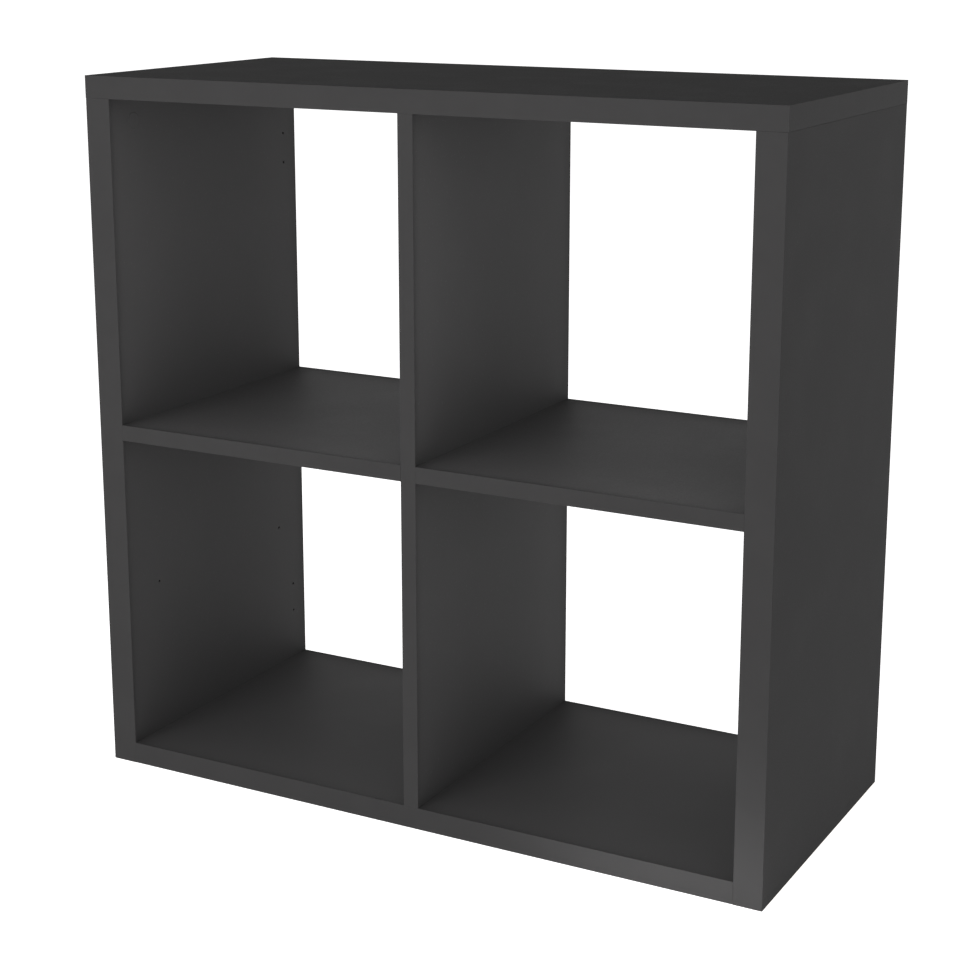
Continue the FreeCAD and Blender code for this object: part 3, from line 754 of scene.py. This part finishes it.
def beech(name, axis):
    """Plain beech whose grain and dark flecks run along one axis."""
    material, tree, shader = new_material(name, (0.56, 0.38, 0.22), 0.6, 0.4)
    along = tuple(ALONG_GRAIN if index == axis else 1.0 for index in range(3))
    band = remap(tree, noise(tree, 1.6, 3, along), 0.3, 0.7)
    tone = mix_colour(tree, band, BEECH_PALE, BEECH_DARK)
    fleck = remap(tree, noise(tree, 0.45, 1, along), 0.66, 0.74)
    tone = stain(tree, tone, BEECH_FLECK, fleck, 0.7)
    plug(tree, shader, tone, remap(tree, band, 0, 1, 0.55, 0.7))
    bump(tree, shader, (noise(tree, 0.5, 2, along), 0.05))
    return material


CAP_PLASTIC = cap_finish()
BEECH_UPRIGHT, BEECH_LYING = beech("beech_upright", 2), beech("beech_lying", 0)
print("cap plastic and beech ready")

# %% [markdown]
# ## Cover caps
#
# A press-in cap hides each cam that would show. It is a thin disc with a rolled rim and a
# barely dished face, moulded in the board's colour, and a peg under it that grips the cam's
# drive recess. A lathe profile could make it, but extruding a disc's faces step by step is
# as short and keeps the peg on the same mesh.

# %% Cover cap
CAP_RADIUS, PEG_RADIUS = 8.75, 1.95
RIM_TOP, RIM_EDGE, DISHED = 0.3, 0.12, 0.22    # heights of the rim, its edge and the dish
PEG_LENGTH, PEG_TAPER = 1.5, 0.4
CAPPED_BOARDS = ("left_side", "right_side", "divider", "left_shelf", "right_shelf")


def cover_cap():
    """Its back is at height zero, with the peg below it."""
    cap = turned("cover_cap", [(0, CAP_RADIUS), (RIM_EDGE, CAP_RADIUS), (DISHED, 8.6),
                               (RIM_TOP, 8.2), (RIM_TOP, 7.6), (0.24, 6.6), (DISHED, 3.5)], 64)
    edit(cap)
    pick_faces(cap, lambda place, way: way.z < -0.9)
    bpy.ops.mesh.inset(thickness=(CAP_RADIUS - PEG_RADIUS) * MM)
    grow(-PEG_LENGTH)
    grow(-PEG_TAPER, 0.8)
    return finish_model(done(cap), CAP_PLASTIC)


fit_all(cover_cap(),
        {f"{board}_cam_caps": CAM_SEATS[board] for board in CAPPED_BOARDS})

# %% [markdown]
# ## Cams
#
# A cam is a die-cast barrel with a mouth in its side. The bolt's head goes in through the
# mouth, and a lip inside, open along a slot, draws it tight as the cam turns. Its face has
# a raised rim and a cross recess for the screwdriver. The hollow parts are cut with boolean
# tools, as a die's slides do it.

# %% Cam
CAM_LENGTH, CAM_GAP = 12.3, 0.1
BOLT_AXIS = 8.0                          # below the face that the cam is let into
ROOM_RADIUS, ROOM_HALF = 5.0, 3.4        # the hollow that takes the bolt's head
MOUTH_RADIUS, MOUTH_BACK, MOUTH_FRONT = 3.6, 2.5, 8.0
SLOT_HALF, SLOT_LIP = 2.4, 0.3
DRIVE_RADIUS, DRIVE_DEPTH, CROSS_DEPTH = 2.0, 2.0, 1.8
CLEAR = 0.5                              # how far a cutting tool stands out of a face


def cam_fitting():
    """The face is at height zero, less its play, and the mouth looks along +X."""
    top = -CAM_GAP
    cam = turned("cam", [(top - CAM_LENGTH, 7.1), (top - CAM_LENGTH + 0.35, CAM_RADIUS),
                         (top - 0.25, CAM_RADIUS), (top, 7.2), (top, 6.4), (top - 0.35, 6.2)], 64)
    head_room = turned("head_room", [(-BOLT_AXIS - ROOM_HALF, ROOM_RADIUS),
                                     (-BOLT_AXIS + ROOM_HALF, ROOM_RADIUS)], 48)
    mouth = turned("mouth", [(-MOUTH_BACK, MOUTH_RADIUS), (MOUTH_FRONT, MOUTH_RADIUS)], 40)
    mouth.rotation_euler.y = math.radians(90)
    mouth.location.z = -BOLT_AXIS * MM
    settle(mouth)
    slot = block("slot", (SLOT_LIP, -MOUTH_FRONT, -BOLT_AXIS - SLOT_HALF),
                 (MOUTH_FRONT, SLOT_LIP, -BOLT_AXIS + SLOT_HALF))
    drive = turned("drive", [(top - DRIVE_DEPTH, DRIVE_RADIUS), (CLEAR, DRIVE_RADIUS)], 32)
    cross = cross_recess(6.6, 1.2, top - CROSS_DEPTH, CLEAR)
    cut(cam, head_room, mouth, slot, drive, *cross)
    return finish_model(cam, CAST, 30)


fit_all(cam_fitting(),
        {f"{board}_cams": seats for board, seats in CAM_SEATS.items()})

# %% [markdown]
# ## Cam bolts
#
# A cam bolt has a coarse thread that bites straight into the board, a collar that stops it
# at the face, a smooth shank, and a neck behind a round head that the cam grips. It is a
# turned part, so it is drawn up through its profile, one ring at a time. The ridges of the
# thread stand as rings: a true helix would show no difference at this size.

# %% Cam bolt
ROOT, CREST, SHANK, NECK = 1.9, 2.45, 2.9, 1.9   # radii of the bolts' stretches
CROSS_ACROSS, CROSS_WIDTH = 3.8, 0.9             # the driver's recess in a head


def thread(low, high, pitch, root, crest):
    """The heights and radii of a coarse thread's ridges, from low to high."""
    steps, height = [], low
    while height + pitch <= high:
        steps += [(height, root), (height + 0.3 * pitch, crest),
                  (height + 0.5 * pitch, crest), (height + 0.8 * pitch, root)]
        height += pitch
    return steps


def cam_bolt():
    """The board's face is at height zero, and the head is the top."""
    bolt = turned("cam_bolt", [(-11, 0.8), (-10.2, ROOT), *thread(-10.1, -0.4, 1.6, ROOT, CREST),
                               (-0.2, ROOT), (0, ROOT), (0, SHANK), (1.4, SHANK), (1.6, 2.7),
                               (16.8, 2.7), (17.0, SHANK), (18.6, SHANK), (18.9, NECK),
                               (22, NECK), (22, 3.0), (22.3, HEAD_RADIUS),
                               (25.2, HEAD_RADIUS), (26, 2.7)])
    cut(bolt, *cross_recess(CROSS_ACROSS, CROSS_WIDTH, 24.4, 26.5))
    return finish_model(bolt, PLATED)


near, far = ends("top_cam_bolts", 0, HEAD_RADIUS)
bolt_sets = {
    "top_cam_bolts": [((x, y, UNDER_TOP), -Z, X) for x in (near, 0, far) for y in CAM_LINES],
    "divider_base_bolts": [((0, y, OVER_BOTTOM), Z, X) for y in CAM_LINES],
}
for name in ("bottom_cam_bolts", "shelf_cam_bolts"):
    height = centre(name, 2)
    bolt_sets[name] = [((face, y, height), way, Z) for y in CAM_LINES
                       for face, way in ((LEFT_FACE, X), (RIGHT_FACE, -X))]
fit_all(cam_bolt(), bolt_sets)

# %% Double-ended bolt
def double_bolt():
    """A headed end each way from a plain shank, for the shelves either side of the divider."""
    half = [(26.4, SHANK), (26.7, NECK), (30, NECK), (30, 3.0), (30.3, HEAD_RADIUS),
            (33.2, HEAD_RADIUS), (34, 2.7)]
    lower = [(-height, radius) for height, radius in reversed(half)]
    bolt = turned("double_bolt", lower + half)
    cut(bolt, *cross_recess(CROSS_ACROSS, CROSS_WIDTH, 32.4, 34.5))
    return finish_model(bolt, PLATED)


height = centre("shelf_double_bolts", 2)
fit_all(double_bolt(),
        {"shelf_double_bolts": [((0, y, height), X, Z) for y in CAM_LINES]})

# %% [markdown]
# ## Dowels
#
# Beech dowels keep the boards in line. They are fluted so that glue and air can get past,
# and chamfered so that they start easily. Every third point round the rod is drawn in a
# little, which cuts all the flutes at once.

# %% Fluted dowel
FLUTED_POINTS, FLUTE_EVERY, FLUTE_DEPTH = 48, 3, 0.93
CHAMFER, END_RADIUS = 1.1, 3.2
SIDE_DOWEL = 32                          # length of the dowels into the sides


def dowel(length):
    """A fluted rod that stands on height zero."""
    rod = turned("dowel", [(0, END_RADIUS), (CHAMFER, DOWEL_RADIUS),
                           (length - CHAMFER, DOWEL_RADIUS), (length, END_RADIUS)],
                 FLUTED_POINTS)
    edit(rod)
    bpy.ops.mesh.select_mode(type="VERT")
    bpy.ops.mesh.select_all(action="DESELECT")
    mesh = bmesh.from_edit_mesh(rod.data)
    for point in mesh.verts:
        step = round(math.atan2(point.co.y, point.co.x) / math.tau * FLUTED_POINTS)
        point.select_set(step % FLUTE_EVERY == 0)
    bmesh.update_edit_mesh(rod.data)
    bpy.ops.transform.resize(value=(FLUTE_DEPTH, FLUTE_DEPTH, 1), center_override=(0, 0, 0))
    return done(rod)


def fit_dowels(name, length, places, out, grain):
    """Dowels of one length, each from its place along one direction."""
    rod = finish_model(dowel(length), grain, 20)
    fit_all(rod, {name: [(place, out, Y) for place in places]})


near, far = ends("top_dowels", 0, DOWEL_RADIUS)
for name, columns in (("top_dowels", (near, 0, far)), ("divider_base_dowels", (0,))):
    low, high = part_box(name)
    fit_dowels(name, (high.z - low.z) / MM, [(x, y, low.z) for x in columns for y in DOWEL_LINES],
               Z, BEECH_UPRIGHT)
for name in ("bottom_dowels", "shelf_side_dowels"):
    low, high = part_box(name)
    fit_dowels(name, SIDE_DOWEL, [(x, y, centre(name, 2)) for y in DOWEL_LINES
                                  for x in (low.x, high.x - SIDE_DOWEL * MM)], X, BEECH_LYING)
low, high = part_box("shelf_through_dowels")
fit_dowels("shelf_through_dowels", (high.x - low.x) / MM,
           [(low.x, y, centre("shelf_through_dowels", 2)) for y in DOWEL_LINES], X, BEECH_LYING)

# %% [markdown]
# ## Wall brackets and their screws
#
# Two small L brackets under the back of the top panel hold the unit to a wall, so that it
# can't tip. Each is a strip of steel, bent with a small radius, with its free corners
# rounded and its edges softened by the powder coat. It starts as the leg under the panel,
# the other leg is extruded down from it, and the corners are bevelled before the holes.

# %% Wall bracket
LEG, DROP, STEEL = 30, 20, 2
SCREW_ROW, SCREW_PITCH, WALL_HOLE_DROP = 13, 16, 11
SCREW_HOLE_RADIUS, WALL_HOLE_RADIUS = 2.1, 2.5
CORNER, OUTER_BEND, INNER_BEND, SOFT_EDGE = 4, 3.0, 1.2, 0.15


def near_to(a, b):
    """Whether two lengths in metres agree to a hundredth of a millimetre."""
    return abs(a - b) < 0.01 * MM


def round_edges(piece, test, radius, segments):
    """Rounds the edges whose two ends pass the test."""
    pick_edges(piece, test)
    bpy.ops.mesh.bevel(offset=radius * MM, segments=segments, affect="EDGES")


def wall_bracket():
    """Lies under height zero, its front edge at y = 0 and its wall side at y = LEG."""
    strip = block("bracket", (0, 0, -STEEL), (LEG, LEG - STEEL, 0))
    edit(strip)
    pick_faces(strip, lambda place, way: way.y > 0.9)
    extrude(0, STEEL, 0)
    pick_faces(strip, lambda place, way: way.z < -0.9 and place.y > (LEG - STEEL) * MM)
    extrude(0, 0, STEEL - DROP)
    round_edges(strip, lambda a, b: near_to(a.x, b.x) and (
        near_to(a.y, 0) and near_to(b.y, 0)
        or near_to(a.z, -DROP * MM) and near_to(b.z, -DROP * MM)), CORNER, 8)
    for y, z, radius in ((LEG, 0, OUTER_BEND), (LEG - STEEL, -STEEL, INNER_BEND)):
        round_edges(strip, lambda a, b: near_to(a.y, y * MM) and near_to(b.y, y * MM)
                    and near_to(a.z, z * MM) and near_to(b.z, z * MM), radius, 6)
    done(strip)
    holes = []
    for x in (LEG / 2 - SCREW_PITCH / 2, LEG / 2 + SCREW_PITCH / 2):
        hole = cylinder("screw_hole", SCREW_HOLE_RADIUS, STEEL + 2)
        hole.location = (x * MM, SCREW_ROW * MM, -(STEEL + 1) * MM)
        holes.append(hole)
    hole = cylinder("wall_hole", WALL_HOLE_RADIUS, STEEL + 2)
    hole.rotation_euler.x = math.radians(-90)
    hole.location = (LEG / 2 * MM, (LEG - STEEL - 1) * MM, -WALL_HOLE_DROP * MM)
    holes.append(hole)
    cut(strip, *holes)
    modify(strip, "BEVEL", width=SOFT_EDGE * MM, segments=2, limit_method="ANGLE",
           angle_limit=math.radians(50))
    return finish_model(strip, POWDER, 40)


BRACKETS = {name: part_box(name) for name in ("left_wall_bracket", "right_wall_bracket")}
fit_all(wall_bracket(),
        {name: [((low.x, low.y, high.z), Z, X)] for name, (low, high) in BRACKETS.items()})

# %% Pan head screw
def pan_head_screw():
    """Head down, its outer face at height zero and its point up in the panel."""
    screw = turned("screw", [(0, 1.7), (0.12, 2.5), (0.5, 3.2), (1.1, 3.5), (2.0, 3.5),
                             (2.0, 1.5), (3.0, 1.5), *thread(3.1, 15.2, 1.3, 1.15, 1.7),
                             (15.2, 1.15), (17.0, 0.15)])
    cut(screw, *cross_recess(3.6, 0.8, -CLEAR, 1.3))
    return finish_model(screw, PLATED)


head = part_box("bracket_screws")[0].z
fit_all(pan_head_screw(), {"bracket_screws": [
    ((centre(name, 0) + side * SCREW_PITCH / 2 * MM, low.y + SCREW_ROW * MM, head), Z, X)
    for name, (low, high) in BRACKETS.items() for side in (-1, 1)]})

# %% Last: sizes
low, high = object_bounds()
